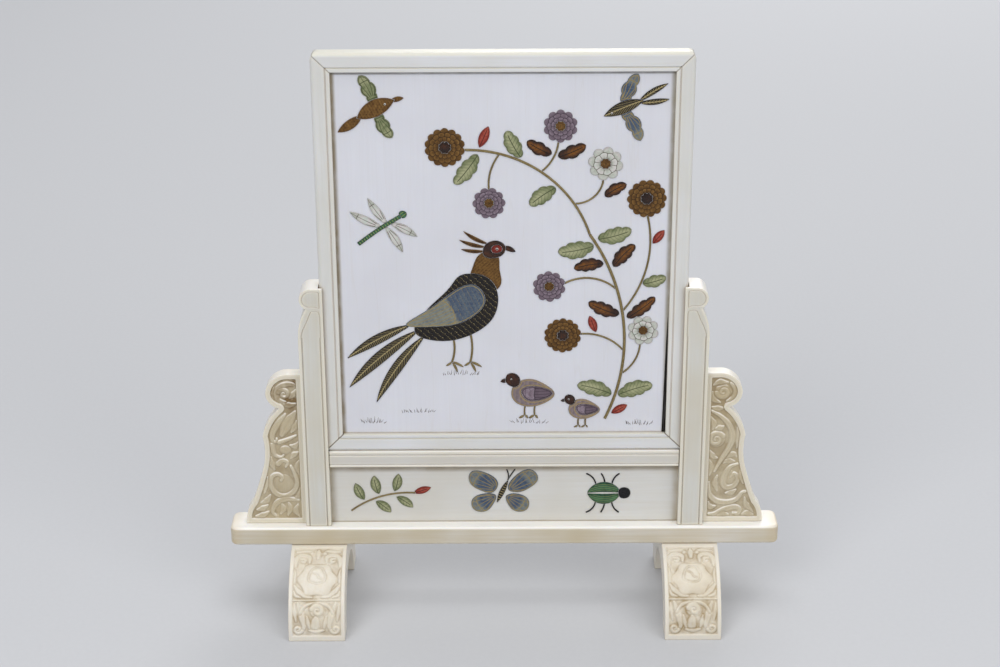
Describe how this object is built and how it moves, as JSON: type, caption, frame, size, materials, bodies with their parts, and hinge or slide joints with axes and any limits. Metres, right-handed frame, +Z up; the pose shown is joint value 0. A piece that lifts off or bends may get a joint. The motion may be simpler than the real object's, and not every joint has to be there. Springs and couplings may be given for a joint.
{
  "type": "inlaid table screen",
  "caption": "Small ivory table screen: an inlaid panel in a moulded frame that lifts out of a stand with grooved posts, carved wings and arched feet.",
  "frame": {"origin": "on the floor, under the middle of the stand", "axes": "+Z up, +X to the right seen from the front, front face towards -Y"},
  "size_m": [0.222, 0.0676, 0.2327],
  "materials": {
    "ivory_slab": "polished ivory slab, cool white with faint straight grain",
    "ivory_frame": "polished ivory, creamy, with darker patina in the mouldings",
    "ivory_carved": "carved ivory, yellower, with tan patina in the ground",
    "gold_lacquer": "gold lacquer on horn, engraved",
    "gold_inlay": "fine gold strip",
    "tortoiseshell": "polished tortoiseshell, mottled brown",
    "black_horn": "black horn, engraved with gold lines",
    "green_horn": "stained horn, leaf green",
    "green_shell": "dark green shell, iridescent",
    "coral": "polished red coral",
    "lilac_shell": "lilac mother-of-pearl, engraved",
    "pearl_shell": "white mother-of-pearl, engraved",
    "abalone": "blue-grey abalone",
    "grey_shell": "pearly grey-pink shell"
  },
  "bodies": {
    "stand": {"base_plank": "ivory_frame", "left_foot": "ivory_carved", "right_foot": "ivory_carved", "left_post": "ivory_frame", "right_post": "ivory_frame", "left_spandrel": "ivory_carved", "right_spandrel": "ivory_carved", "spandrel_dowels": "ivory_frame", "cross_rail": "ivory_frame", "lower_panel": "ivory_slab", "sprig_stem": "gold_inlay", "sprig_leaves": "green_horn", "sprig_buds": "coral", "butterfly_body": "black_horn", "butterfly_wings": "abalone", "beetle_shell": "green_shell", "beetle_head": "black_horn", "beetle_legs": "black_horn"},
    "screen": {"frame_top_rail": "ivory_frame", "frame_bottom_rail": "ivory_frame", "frame_right_stile": "ivory_frame", "frame_left_stile": "ivory_frame", "frame_mitre_keys": "ivory_frame", "main_panel": "ivory_slab", "branch_stems": "gold_inlay", "gold_blossoms": "gold_lacquer", "lilac_blossoms": "lilac_shell", "pearl_blossoms": "pearl_shell", "coral_buds": "coral", "dark_hearts": "tortoiseshell", "gold_hearts": "gold_lacquer", "green_leaves": "green_horn", "brown_leaves": "tortoiseshell", "pheasant_body": "black_horn", "pheasant_wing": "abalone", "pheasant_neck": "gold_lacquer", "pheasant_head": "tortoiseshell", "pheasant_face": "coral", "pheasant_crest": "gold_lacquer", "pheasant_tail": "black_horn", "pheasant_legs": "gold_inlay", "quail_bodies": "grey_shell", "quail_wings": "lilac_shell", "quail_heads": "tortoiseshell", "quail_legs": "gold_inlay", "swallow_body": "black_horn", "swallow_wings": "abalone", "finch_body": "gold_lacquer", "finch_wings": "green_horn", "dragonfly_body": "green_shell", "dragonfly_wings": "pearl_shell"}
  },
  "joints": [
    {"name": "screen_lift", "type": "slide", "parent": "stand", "child": "screen", "axis": [0, 0, 1], "range_m": [0, 0.08]}
  ]
}
